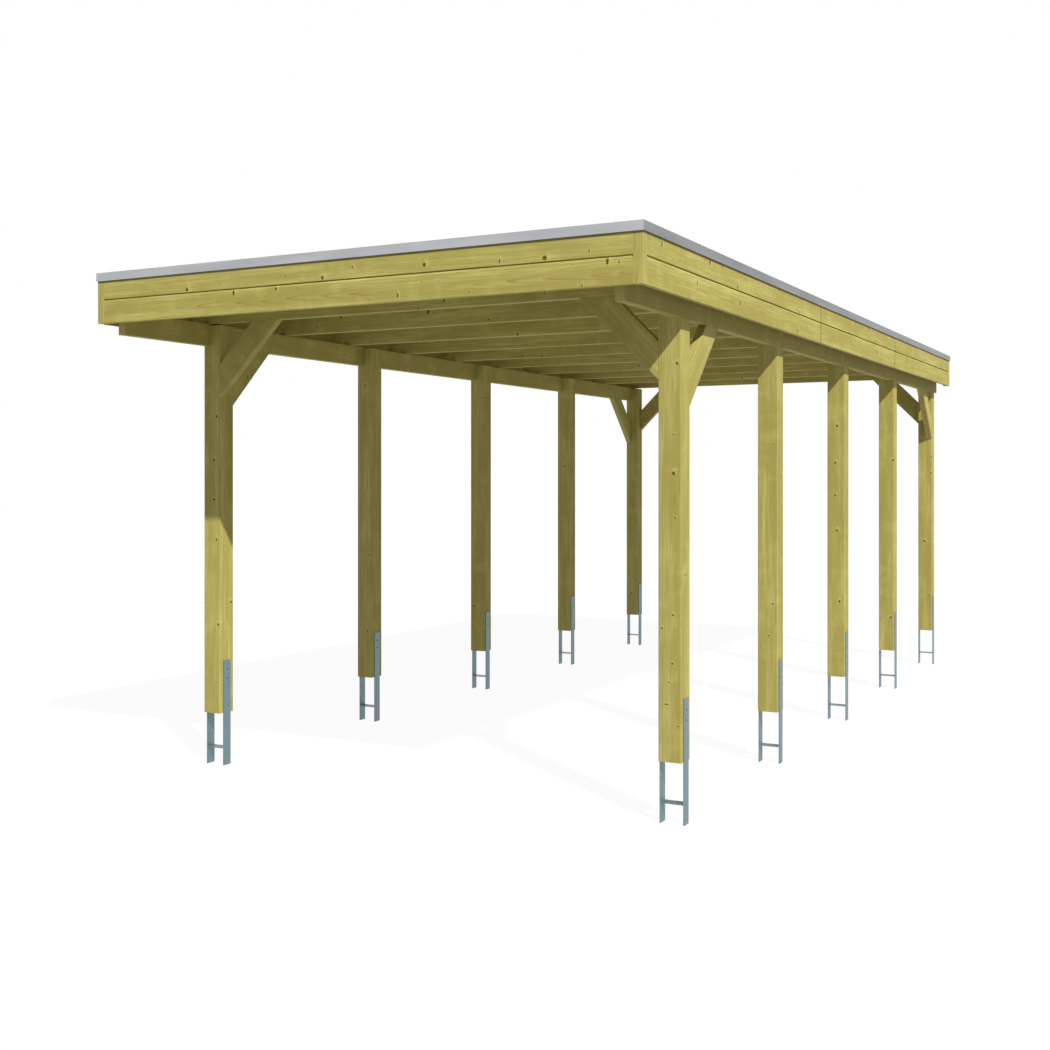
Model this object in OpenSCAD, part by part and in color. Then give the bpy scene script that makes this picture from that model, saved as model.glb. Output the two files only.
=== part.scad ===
// Flat-roofed timber carport on galvanised post anchors.
// Millimetres. +Z is up, the front is towards -Y, and the origin lies on the ground plane
// under the centre of the roof, level with the tips of the anchors.

/* [Roof] */
// Width over the edge trim
roof_w = 3140; // [2700:10:3600]
// Length over the edge trim
roof_l = 7080; // [6400:10:8000]
// From the front roof edge to the front posts
front_overhang = 716; // [600:1:900]
// From the back posts to the back roof edge
back_overhang = 161; // [140:1:260]
// From the side roof edge to the outer face of the posts
side_overhang = 110; // [90:1:200]

/* [Posts] */
// Width and depth of a post
post_w = 115; // [90:1:140]
// Posts in each row
posts_per_row = 5; // [3:1:6]
// From the foot of a post to the seat of the beam
beam_seat = 2105; // [1900:5:2400]
// How far the tongue of a post stays below the top of the beam
tongue_drop = 10; // [2:1:30]

/* [Beams, rafters and braces] */
// Thickness of the beams
beam_t = 45; // [35:1:60]
// Height of the beams
beam_h = 125; // [100:1:160]
// Gap between the ends of a beam and the fascia
beam_end_gap = 26; // [2:1:40]
// Thickness of the rafters
rafter_t = 45; // [35:1:60]
// Height of the rafters
rafter_h = 125; // [100:1:160]
// Number of rafters
rafter_count = 11; // [9:1:14]
// Thickness of the braces
brace_t = 45; // [35:1:60]
// Height of the braces, square to their length
brace_h = 130; // [90:1:150]
// Run of a brace along the piece above it
brace_reach = 416; // [330:1:520]
// Chamfer on the long edges of the timbers
arris = 2; // [1:0.5:8]

/* [Fascia] */
// Thickness of the fascia boards
fascia_t = 19; // [16:1:28]
// Full height of a fascia board
fascia_h = 140; // [120:1:160]
// How far the lower boards hang below the rafters
fascia_drop = 65; // [40:1:90]
// Height of the tongue on a lower board
tongue_h = 17.5; // [12:0.5:24]
// Thickness of the tongue on a lower board
tongue_t = 8; // [5:0.5:10]
// Shadow gap between the boards
shadow_gap = 5; // [3:0.5:9]
// Bevel on the lower edges of the boards
bevel = 2; // [1:0.5:5]
// Height of the slope that sheds rain along the top of a lower board
shed_h = 9; // [4:0.5:14]
// Depth of that slope
shed_t = 4; // [2:0.5:8]
// Open joint between two lengths of board
butt_gap = 3; // [0.5:0.5:5]
// Width of the corner battens
batten_w = 45; // [35:1:60]

/* [Roof covering] */
// Thickness of the roof boarding
deck_t = 19; // [16:1:28]
// Thickness of the waterproof sheet
sheet_t = 1.5; // [1:0.5:3]

/* [Edge trim] */
// Thickness of the trim
trim_t = 1.5; // [1:0.5:3]
// Height of the face of the trim
trim_h = 44; // [36:1:60]
// Width of the flange that lies on the fascia
trim_flange = 42; // [36:1:60]
// How far the trim stands out from the fascia
trim_proud = 6.4; // [5:0.2:14]
// Thickness of the hem along the lower edge of the trim
hem_t = 3.5; // [2:0.5:5]
// Height of the hem
hem_h = 7; // [4:0.5:10]

/* [Anchors] */
// Full length of an anchor
anchor_l = 600; // [500:10:800]
// Length of an anchor beside the post
anchor_grip = 300; // [220:10:340]
// Width of the flat bars
flat_w = 60; // [50:1:80]
// Thickness of the flat bars and the cross plate
flat_t = 5; // [4:0.5:8]
// From the tips up to the cross plate
plate_up = 96; // [60:1:160]
// Diameter of the screw holes
hole_d = 11; // [8:0.5:14]
// From the top of a flat bar to the first hole
hole_drop = 54; // [30:1:70]
// Distance between the two holes
hole_pitch = 50; // [30:1:80]

/* [Hidden] */
$fn = 48;
// Room that a cut runs past the piece it cuts
cut = 5;
// Play beside the tongue of a fascia board
tongue_play = 0.5;
brace_angle = 45;
left = -1;
right = 1;
front = -1;
back = 1;

// Outlines in plan, from the roof edge inwards
roof_x = roof_w / 2;
roof_y = roof_l / 2;
fascia_x = roof_x - trim_proud;
fascia_y = roof_y - trim_proud;
inner_x = fascia_x - fascia_t;
inner_y = fascia_y - fascia_t;
batten_x = fascia_x - batten_w;
batten_y = fascia_y - batten_w;
post_out = roof_x - side_overhang;
post_in = post_out - post_w;
post_front = -roof_y + front_overhang;
post_back = roof_y - back_overhang - post_w;
post_pitch = (post_back - post_front) / (posts_per_row - 1);

// Levels above the tips of the anchors
post_foot = anchor_l - anchor_grip;
beam_z = post_foot + beam_seat;
rafter_z = beam_z + beam_h;
deck_z = rafter_z + rafter_h;
sheet_z = deck_z + deck_t;
lower_z = rafter_z - fascia_drop;
board_face = fascia_h - tongue_h;
upper_z = lower_z + board_face + shadow_gap;
fascia_top = upper_z + fascia_h;

// The first rafter lies behind the front fascia, the second and the last in line with the posts
rafter_second = post_front;
rafter_last = post_back + post_w - rafter_t;
rafter_pitch = (rafter_last - rafter_second) / (rafter_count - 2);

// Rafters on which the lengths of the side fascia meet
seam_rafters = [round((rafter_count - 1) * 0.4), round((rafter_count - 1) * 0.7)];
side_stops = concat([-batten_y], [for (i = seam_rafters) rafter_y(i) + rafter_t / 2], [batten_y]);

sides = ["left", "right"];
ends = ["front", "back"];

function post_y(i) = post_front + (i - 1) * post_pitch;
function rafter_y(i) = i == 0 ? -inner_y : rafter_second + (i - 1) * rafter_pitch;

timber = [0.70, 0.65, 0.36];
boards = [0.72, 0.67, 0.38];
zinc = [0.52, 0.61, 0.65];
aluminium = [0.66, 0.67, 0.69];
rubber = [0.16, 0.16, 0.17];

// Section of a planed timber with its long edges taken off
module planed_section(w, h) {
    x = w / 2;
    y = h / 2;
    polygon([[-x + arris, -y], [x - arris, -y], [x, -y + arris], [x, y - arris],
             [x - arris, y], [-x + arris, y], [-x, y - arris], [-x, -y + arris]]);
}

// Timber of thickness t and height h that runs along +X from the origin
module timber_x(l, t, h) {
    translate([0, t / 2, h / 2]) rotate([90, 0, 90]) linear_extrude(l) planed_section(t, h);
}

// Timber of thickness t and height h that runs along +Y from the origin
module timber_y(l, t, h) {
    translate([t / 2, l, h / 2]) rotate([90, 0, 0]) linear_extrude(l) planed_section(t, h);
}

// Sets a piece modelled on the left side to one side or the other
module on_side(side) {
    if (side == right) mirror([1, 0, 0]) children();
    else children();
}

// H-shaped anchor: two flat bars on the outer and inner face of the post, and a plate across
module anchor(side, i) {
    on_side(side) color(zinc) translate([-post_out + post_w / 2, post_y(i) + post_w / 2, 0])
    difference() {
        union() {
            for (x = [-post_w / 2 - flat_t, post_w / 2])
                translate([x, -flat_w / 2, 0]) cube([flat_t, flat_w, anchor_l]);
            translate([-post_w / 2 - flat_t / 2, -flat_w / 2, plate_up])
                cube([post_w + flat_t, flat_w, flat_t]);
        }
        for (h = [hole_drop, hole_drop + hole_pitch])
            translate([-post_w / 2 - flat_t - cut, 0, anchor_l - h])
                rotate([0, 90, 0]) cylinder(d = hole_d, h = post_w + 2 * flat_t + 2 * cut);
    }
}

// Post with a seat for the beam cut out of its outer face, which leaves a tongue inside
module post(side, i) {
    post_l = beam_seat + beam_h - tongue_drop;
    on_side(side) color(timber) translate([-post_out, post_y(i), post_foot]) difference() {
        translate([post_w / 2, post_w / 2, 0]) linear_extrude(post_l) planed_section(post_w, post_w);
        translate([-cut, -cut, beam_seat]) cube([beam_t + cut, post_w + 2 * cut, beam_h + cut]);
    }
}

// Beam on the seats of one row of posts
module beam(side) {
    beam_y = inner_y - beam_end_gap;
    on_side(side) color(timber) translate([-post_out, -beam_y, beam_z]) timber_y(2 * beam_y, beam_t, beam_h);
}

// Brace from a post at the origin, out along +X and up to a piece above it at height 0
module brace() {
    span = brace_reach + brace_h;
    intersection() {
        translate([0, 0, -brace_reach]) rotate([0, -brace_angle, 0]) translate([-brace_h, 0, 0])
            timber_x(2 * span, brace_t, brace_h);
        translate([0, -cut, -span]) cube([span, brace_t + 2 * cut, span]);
    }
}

// Brace across the carport, under the rafter in line with an end post
module brace_across(end, side) {
    y = end == front ? post_front : post_back + post_w - brace_t;
    on_side(side) color(timber) translate([-post_in, y, rafter_z]) brace();
}

// Brace along the carport, under the beam
module brace_along(end, side) {
    on_side(side) color(timber) {
        if (end == front)
            translate([-post_out + brace_t, post_front + post_w, beam_z]) rotate([0, 0, 90]) brace();
        else
            translate([-post_out, post_back, beam_z]) rotate([0, 0, -90]) brace();
    }
}

// Rafters on both beams; the first is shorter because it ends at the corner battens
module rafters() {
    color(timber) for (i = [0 : rafter_count - 1]) {
        half = i == 0 ? batten_x : inner_x;
        translate([-half, rafter_y(i), rafter_z]) timber_x(2 * half, rafter_t, rafter_h);
    }
}

// Section of a lower board: bevelled below, sloped above, with a tongue behind the upper board
module lower_board_section() {
    polygon([[0, 0], [fascia_t - bevel, 0], [fascia_t, bevel],
             [fascia_t, board_face - shed_h], [fascia_t - shed_t, board_face],
             [tongue_t, board_face], [tongue_t, fascia_h], [0, fascia_h]]);
}

// Section of an upper board: bevelled lower edge, with a rebate that sits on the tongue
module upper_board_section() {
    rebate_t = tongue_t + tongue_play;
    rebate_h = tongue_h - shadow_gap;
    polygon([[rebate_t, 0], [fascia_t - bevel, 0], [fascia_t, bevel], [fascia_t, fascia_h],
             [0, fascia_h], [0, rebate_h], [rebate_t, rebate_h]]);
}

// Section of the single board along the back
module back_board_section() {
    polygon([[0, 0], [fascia_t - bevel, 0], [fascia_t, bevel], [fascia_t, fascia_h], [0, fascia_h]]);
}

// Length of board on the +X side, from one place along Y to another
module board_run(inner, from, to, z) {
    translate([inner, to, z]) rotate([90, 0, 0]) linear_extrude(to - from) children();
}

// One course of side fascia, in lengths that meet over rafters
module side_course(z) {
    last = len(side_stops) - 2;
    for (i = [0 : last]) {
        from = side_stops[i] + (i == 0 ? 0 : butt_gap / 2);
        to = side_stops[i + 1] - (i == last ? 0 : butt_gap / 2);
        board_run(inner_x, from, to, z) children();
    }
}

module fascia_lower(side) {
    on_side(side) color(boards) mirror([1, 0, 0]) side_course(lower_z) lower_board_section();
}

module fascia_upper(side) {
    on_side(side) color(boards) mirror([1, 0, 0]) side_course(upper_z) upper_board_section();
}

module fascia_front_lower() {
    color(boards) rotate([0, 0, -90]) board_run(inner_y, -batten_x, batten_x, lower_z) lower_board_section();
}

module fascia_front_upper() {
    color(boards) rotate([0, 0, -90]) board_run(inner_y, -batten_x, batten_x, upper_z) upper_board_section();
}

module fascia_back() {
    color(boards) rotate([0, 0, 90]) board_run(inner_y, -batten_x, batten_x, upper_z) back_board_section();
}

// Upright battens that close the corners of the fascia and end above the bevel of the boards
module corner_battens() {
    batten_z = lower_z + bevel;
    color(boards) for (x = [-fascia_x, batten_x]) for (y = [-fascia_y, batten_y])
        translate([x, y, batten_z]) cube([batten_w, batten_w, fascia_top - batten_z]);
}

// Plan of the roof inside the fascia, drawn in from it, with a notch for each corner batten
module roof_plan(inset) {
    x = inner_x - inset;
    y = inner_y - inset;
    difference() {
        translate([-x, -y]) square([2 * x, 2 * y]);
        for (i = [-1, 1]) for (j = [-1, 1]) scale([i, j])
            translate([batten_x - inset, batten_y - inset]) square(batten_w + cut);
    }
}

// Boarding on the rafters
module roof_boarding() {
    color(boards) translate([0, 0, deck_z]) linear_extrude(deck_t) roof_plan(0);
}

// Waterproof sheet on the boarding, turned up behind the fascia
module roof_sheet() {
    depth = fascia_top - sheet_z;
    color(rubber) translate([0, 0, sheet_z]) difference() {
        linear_extrude(depth) roof_plan(0);
        translate([0, 0, sheet_t]) linear_extrude(depth) roof_plan(sheet_t);
    }
}

// Section of the edge trim: face with a hem, and a flange on top of the fascia
module trim_section() {
    low = trim_t - trim_h;
    polygon([[0, trim_t], [0, low], [-hem_t, low], [-hem_t, low + hem_h], [-trim_t, low + hem_h],
             [-trim_t, 0], [-trim_flange, 0], [-trim_flange, trim_t]]);
}

// One length of trim on the +X side, mitred at both ends
module edge_trim(x, y) {
    color(aluminium) translate([0, 0, fascia_top]) intersection() {
        translate([x, y, 0]) rotate([90, 0, 0]) linear_extrude(2 * y) trim_section();
        translate([0, 0, -trim_h - cut]) linear_extrude(trim_h + trim_t + 2 * cut)
            polygon([[x, -y], [x, y], [x - trim_flange, y - trim_flange],
                     [x - trim_flange, trim_flange - y]]);
    }
}

for (s = sides) {
    side = s == "left" ? left : right;
    for (i = [1 : posts_per_row]) {
        anchor(side, i);
        post(side, i);
    }
    beam(side);
    brace_across(front, side);
    brace_across(back, side);
    brace_along(front, side);
    brace_along(back, side);
    fascia_lower(side);
    fascia_upper(side);
}
rafters();
fascia_front_lower();
fascia_front_upper();
fascia_back();
corner_battens();
roof_boarding();
roof_sheet();
rotate([0, 0, -90]) edge_trim(roof_y, roof_x);  // edge_trim_front
rotate([0, 0, 90]) edge_trim(roof_y, roof_x);  // edge_trim_back
rotate([0, 0, 180]) edge_trim(roof_x, roof_y);  // edge_trim_left
edge_trim(roof_x, roof_y);  // edge_trim_right
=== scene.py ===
# %% [markdown]
# # Dressing a timber carport
# The carport is put together as timber frames are: posts on steel anchors, beams on the posts, rafters
# across the beams, and a boarded roof behind a fascia. The solids of those pieces come from the frame
# and stay where they are. This lesson gives each of them its finish, lays the roof boards and the sheet
# as separate pieces, and adds the small steel parts that hold it all together.

# %% Load the frame
import math
import random

import bmesh
import bpy
from mathutils import Matrix, Vector


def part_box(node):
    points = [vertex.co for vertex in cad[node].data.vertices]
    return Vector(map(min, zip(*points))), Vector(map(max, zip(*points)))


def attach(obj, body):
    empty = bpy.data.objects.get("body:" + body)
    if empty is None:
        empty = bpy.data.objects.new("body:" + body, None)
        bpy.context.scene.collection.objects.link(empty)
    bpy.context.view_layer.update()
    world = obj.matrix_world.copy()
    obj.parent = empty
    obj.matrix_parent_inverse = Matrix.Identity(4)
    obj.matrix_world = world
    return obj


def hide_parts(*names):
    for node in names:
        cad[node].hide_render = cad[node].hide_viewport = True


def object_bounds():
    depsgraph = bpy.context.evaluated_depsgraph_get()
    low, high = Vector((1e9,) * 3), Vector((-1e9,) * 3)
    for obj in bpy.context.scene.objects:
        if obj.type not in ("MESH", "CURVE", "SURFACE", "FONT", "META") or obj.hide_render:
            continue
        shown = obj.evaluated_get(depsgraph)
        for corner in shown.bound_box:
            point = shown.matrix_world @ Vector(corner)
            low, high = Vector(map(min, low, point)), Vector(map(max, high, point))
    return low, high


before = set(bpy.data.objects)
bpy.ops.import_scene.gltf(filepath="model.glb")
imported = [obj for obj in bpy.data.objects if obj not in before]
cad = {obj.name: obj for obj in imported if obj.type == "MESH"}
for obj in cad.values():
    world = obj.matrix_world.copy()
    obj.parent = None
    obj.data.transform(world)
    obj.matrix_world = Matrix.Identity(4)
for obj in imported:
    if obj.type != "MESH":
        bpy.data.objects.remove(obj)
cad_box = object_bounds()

size = cad_box[1] - cad_box[0]
print("frame:", len(cad), "pieces,", " x ".join(f"{side:.3f}" for side in size), "m")

# %% [markdown]
# ## Camera
# The photograph looks at the front right corner from eye height, with a level camera: all posts are
# upright in it, and the horizon lies a little above the middle of the picture. A tilted camera would make
# the posts lean, so the camera stays level and its lens is shifted instead, as architects do it.

# %% Camera
PHOTO_SIDE = 1050
FOCAL_LENGTH_PX = 1314.1
HORIZON_ROW = 477.1
SENSOR_MM = 36
EYE = Vector((3.707, -8.645, 1.652))
HEADING = math.radians(27.878)

bpy.ops.object.camera_add(location=EYE, rotation=(math.radians(90), 0, HEADING))
camera = bpy.context.object
camera.name = "camera"
camera.data.sensor_width = SENSOR_MM
camera.data.lens = SENSOR_MM * FOCAL_LENGTH_PX / PHOTO_SIDE
camera.data.shift_y = HORIZON_ROW / PHOTO_SIDE - 0.5
camera.data.dof.use_dof = False
bpy.context.scene.camera = camera
bpy.context.scene.view_settings.view_transform = "Standard"
print("camera:", round(camera.data.lens, 1), "mm lens, shift", round(camera.data.shift_y, 4))

# %% [markdown]
# ## Helpers for materials
# Materials are small graphs of nodes. Adding a node, setting its values and linking it takes several
# lines each time, so a few helpers do it: one for any node, and short ones for sums, vectors, ranges and
# colour mixes. Colours are written as screen values from 0 to 255, which are easy to read off a picture,
# and turned into the linear values that shaders want.

# %% Helpers for materials
MIX_SHARE = 0
MIX_SOCKETS = {"VECTOR": (4, 5, 1), "RGBA": (6, 7, 2)}


def tone(red, green, blue):
    """Linear colour from screen values between 0 and 255."""
    def linear(value):
        share = value / 255
        return share / 12.92 if share <= 0.04045 else ((share + 0.055) / 1.055) ** 2.4
    return (linear(red), linear(green), linear(blue), 1.0)


def add(tree, kind, inputs=None, **settings):
    """Adds a node; an input is either a plain value or the socket that feeds it."""
    made = tree.nodes.new("ShaderNode" + kind)
    for name, value in settings.items():
        setattr(made, name, value)
    for name, value in (inputs or {}).items():
        if isinstance(value, bpy.types.NodeSocket):
            tree.links.new(value, made.inputs[name])
        else:
            made.inputs[name].default_value = value
    return made


def calc(tree, operation, *values):
    """One sum on numbers."""
    return add(tree, "Math", dict(enumerate(values)), operation=operation).outputs[0]


def vector(tree, operation, *values):
    """One sum on vectors; a length or a dot product is a number."""
    made = add(tree, "VectorMath", dict(enumerate(values)), operation=operation)
    return made.outputs["Value" if operation in ("LENGTH", "DOT_PRODUCT") else "Vector"]


def parts(tree, place):
    """The three numbers of a vector."""
    return add(tree, "SeparateXYZ", {0: place}).outputs


def together(tree, x, y, z=0.0):
    """A vector from three numbers."""
    return add(tree, "CombineXYZ", {"X": x, "Y": y, "Z": z}).outputs[0]


def span(tree, value, from_low, from_high, to_low=0.0, to_high=1.0):
    """Eases a number from one range into another."""
    limits = {"Value": value, "From Min": from_low, "From Max": from_high,
              "To Min": to_low, "To Max": to_high}
    return add(tree, "MapRange", limits, interpolation_type="SMOOTHSTEP").outputs[0]


def mix(tree, share, first, second, kind="RGBA"):
    """Mixes two colours, or two vectors."""
    first_socket, second_socket, result = MIX_SOCKETS[kind]
    given = {MIX_SHARE: share, first_socket: first, second_socket: second}
    return add(tree, "Mix", given, data_type=kind).outputs[result]


def noise(tree, place, stretch, detail=2.0, roughness=0.5):
    """Soft noise whose patches are stretched along the axes; the stretch is in patches per metre."""
    scaled = vector(tree, "MULTIPLY", place, stretch)
    return add(tree, "TexNoise", {"Vector": scaled, "Scale": 1.0, "Detail": detail, "Roughness": roughness})


def own_place(tree):
    """Place on a piece, in the piece's own coordinates."""
    return add(tree, "TexCoord").outputs["Object"]


def new_material(name):
    """An empty material, its tree and its output node."""
    material = bpy.data.materials.new(name)
    material.use_nodes = True
    material.node_tree.nodes.clear()
    output = material.node_tree.nodes.new("ShaderNodeOutputMaterial")
    return material, material.node_tree, output


def finish_surface(tree, output, inputs, relief, height, strength):
    """A shader with a slight relief, linked to the output of its material."""
    bump = add(tree, "Bump", {"Height": relief, "Distance": height, "Strength": strength})
    shader = add(tree, "BsdfPrincipled", {**inputs, "Normal": bump.outputs[0]})
    tree.links.new(shader.outputs[0], output.inputs["Surface"])


# %% [markdown]
# ## Light, floor and background
# The photograph has one hard sun, high on the front right, and an even sky. The sun's direction was read
# from the shadow of the fascia on the front left post. A sun lamp and a plain grey world give that, at a
# level where a sunlit colour shows about as it is written. The background has to be white without putting
# more light on the timber, so only what the camera sees directly, or in a reflection, is white. The floor
# still shows a faint shadow. To scattered light it glows evenly instead: it brightens the roof from below,
# and its own shadow doesn't darken the feet of the posts.

# %% Light, floor and background
TO_SUN = Vector((0.877, -0.672, 1.0))
SUN_STRENGTH = 4.35
SUN_WIDTH = math.radians(0.9)
SKY_STRENGTH = 0.28
FLOOR_SIDE = 90.0
FLOOR_SHADOW = 0.05
FLOOR_GLOW = tone(200, 201, 217)
WHITE = (1.0, 1.0, 1.0, 1.0)

bpy.ops.object.light_add(type="SUN", rotation=TO_SUN.to_track_quat("Z", "Y").to_euler())
sun = bpy.context.object
sun.name = "sun"
sun.data.energy = SUN_STRENGTH
sun.data.angle = SUN_WIDTH


def seen_directly(tree):
    """1 for what the camera sees itself, in a mirror or through glass, and 0 for scattered light."""
    path = add(tree, "LightPath").outputs
    mirrored = calc(tree, "MAXIMUM", path["Is Glossy Ray"], path["Is Transmission Ray"])
    return calc(tree, "MAXIMUM", path["Is Camera Ray"], mirrored)


world = bpy.data.worlds.new("plain_sky")
bpy.context.scene.world = world
world.use_nodes = True
sky_tree = world.node_tree
sky_tree.nodes.clear()
strength = calc(sky_tree, "MULTIPLY_ADD", seen_directly(sky_tree), 1 - SKY_STRENGTH, SKY_STRENGTH)
sky = add(sky_tree, "Background", {"Color": WHITE, "Strength": strength})
add(sky_tree, "OutputWorld", {"Surface": sky.outputs[0]})

bpy.ops.object.select_all(action="DESELECT")
bpy.ops.mesh.primitive_plane_add(size=FLOOR_SIDE)
floor = bpy.context.object
floor.name = "floor"
floor_paint, tree, output = new_material("pale_floor")
shown = add(tree, "MixShader", {
    "Fac": FLOOR_SHADOW,
    1: add(tree, "Emission", {"Color": WHITE, "Strength": 1.0}).outputs[0],
    2: add(tree, "BsdfDiffuse", {"Color": WHITE}).outputs[0],
})
glow = add(tree, "Emission", {"Color": FLOOR_GLOW, "Strength": 1.0})
surface = add(tree, "MixShader", {"Fac": seen_directly(tree), 1: glow.outputs[0], 2: shown.outputs[0]})
tree.links.new(surface.outputs[0], output.inputs["Surface"])
floor.data.materials.append(floor_paint)
print("light: sun", SUN_STRENGTH, "and sky", SKY_STRENGTH)

# %% [markdown]
# ## Branches in the wood
# All the timber is planed spruce, pressure-treated to a yellow green. A picture of planks would repeat
# and would break at every edge. Wood is the same all the way through, so it is made here as a solid: year
# rings around a heart line, branches that run out from the heart as knots, and fibres along the grain.
# A face then shows flames, stripes or rings according to how it cuts the log, and ends show end grain.
#
# The branches come first. A net is rolled round the heart, and each of its cells holds one branch, which
# climbs as it grows outwards. Where a face cuts a branch, it shows a knot. Many are too thin to be seen.

# %% Branches in the wood
BRANCH_RISE = 0.45
BRANCH_CELL = 0.150
BRANCHES_AROUND = 2.2
THIN_BRANCHES = 0.35
SMALLEST_KNOT = 0.0004
LARGEST_KNOT = 0.0080


def branch_knot(tree, log, radius):
    """Way from the nearest branch, in knot radii along and across, and the chance numbers of that branch."""
    along, across, upwards = parts(tree, log)
    climbed = calc(tree, "MULTIPLY_ADD", radius, -BRANCH_RISE, along)
    angle = calc(tree, "ARCTAN2", across, upwards)
    cell_angle = 2 * math.pi / BRANCHES_AROUND
    net = together(tree, calc(tree, "DIVIDE", climbed, BRANCH_CELL), calc(tree, "DIVIDE", angle, cell_angle))
    cells = add(tree, "TexVoronoi", {"Vector": net, "Scale": 1.0}, voronoi_dimensions="2D").outputs
    off = parts(tree, vector(tree, "SUBTRACT", net, cells["Position"]))
    off_along = calc(tree, "MULTIPLY", off["X"], BRANCH_CELL)
    off_around = calc(tree, "MULTIPLY", calc(tree, "MULTIPLY", off["Y"], cell_angle), radius)
    chance = add(tree, "SeparateColor", {0: cells["Color"]}).outputs
    thickness = span(tree, chance["Red"], THIN_BRANCHES, 1.0, SMALLEST_KNOT, LARGEST_KNOT)
    way = together(tree, calc(tree, "DIVIDE", off_along, thickness),
                   calc(tree, "DIVIDE", off_around, thickness))
    return way, chance


# %% [markdown]
# ## Spruce, as a solid
# What makes spruce goes into one node group, so that a timber only has to say where it lies in its log. The
# group takes that place, with the grain along X and the heart at Y = Z = 0, and the number of the timber,
# which picks another stretch of log for each one. A higher depth makes the wood darker. A listed knot
# comes in as the way from it, and a clear timber has no other knots. The colours are laid over one
# another, as thin glazes are: each takes its share from a noise that is stretched along the grain.

# %% Colours and patterns of spruce
BARK_BROWN = tone(76, 62, 14)
KNOT_BROWN = tone(124, 102, 38)
LEE_PALE = tone(200, 190, 116)
SAP_PALE = tone(197, 188, 109)
SAP_DEEP = tone(161, 150, 78)
SAP_TAN = tone(180, 158, 96)
TREATED_GREEN = tone(162, 160, 74)
LATE_ORANGE = tone(152, 114, 50)

# Noises: patches per metre along and across the grain, detail and roughness
PATTERNS = {
    "bend": (0.8, 2.0, 1.0, 0.5),
    "wobble": (160.0, 260.0, 1.0, 0.5),
    "uneven": (2.2, 16.0, 3.0, 0.6),
    "patches": (1.6, 12.0, 1.0, 0.5),
    "drifts": (1.4, 12.0, 2.0, 0.5),
    "tans": (0.9, 45.0, 1.0, 0.5),
    "greens": (0.8, 30.0, 1.0, 0.5),
    "stripes": (1.8, 75.0, 2.0, 0.6),
    "curls": (9.0, 5.0, 2.0, 0.5),
    "fibres": (4.5, 190.0, 2.0, 0.65),
    "dashes": (14.0, 120.0, 1.0, 0.5),
}
# Glazes in their order: pattern, the values between which it sets in, largest share and colour
GLAZES = [
    ("greens", 0.45, 0.70, 0.70, TREATED_GREEN),
    ("stripes", 0.42, 0.68, 0.55, SAP_DEEP),
    ("curls", 0.48, 0.72, 0.45, SAP_PALE),
    ("fibres", 0.40, 0.62, 0.75, SAP_DEEP),
    ("dashes", 0.64, 0.76, 0.35, LATE_ORANGE),
]


def grain_noise(tree, log, name):
    """Outputs of a noise from the list, stretched along the grain."""
    along, across, detail, roughness = PATTERNS[name]
    return noise(tree, log, (along, across, across), detail, roughness).outputs


print("spruce:", len(PATTERNS), "patterns and", len(GLAZES), "glazes")

# %% Spruce, as a solid
LOG_LENGTH = 37.0
LOG_TAPER = -0.03
HEART_WANDER = 0.006
HEART_ZONE = (0.050, 0.032)
RING_WIDTH = 0.0055
RING_UNEVEN = 1.8
RING_PUSH = (5.0, 0.0, 0.0, 1.5)
RING_PATCHES = (0.40, 0.62)
RING_STRENGTH = 0.25
RING_GAIN = 0.35
HEART_RINGS = 0.20
LATE_POWER = 6.0
LATE_SOFTER = -2.5
KNOT_WOBBLE = 0.9
KNOT_EDGE = (1.3, 0.7)
CORE_EDGE = (1.15, 0.45)
LEE_EDGE = (2.6, 0.6)
LEE_SIDE = (1.4, 0.6, 0.0)
DEAD_BRANCH = (0.35, 0.45)
FAR_AWAY = 99.0
FAR_KNOT = (FAR_AWAY, 0.0, 0.0)
DRIFT_RANGE = (0.28, 0.72)
TAN_RANGE = (0.50, 0.72, 0.0, 0.5)
LEE_SHARE = 0.45
KNOT_SHARE = 0.85
CORE_SHARE = 0.9
FIBRE_ROUGHNESS = (0.3, 0.7, 0.58, 0.74)
LATE_RIDGE = 0.5
CORE_SINK = -1.5


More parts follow.
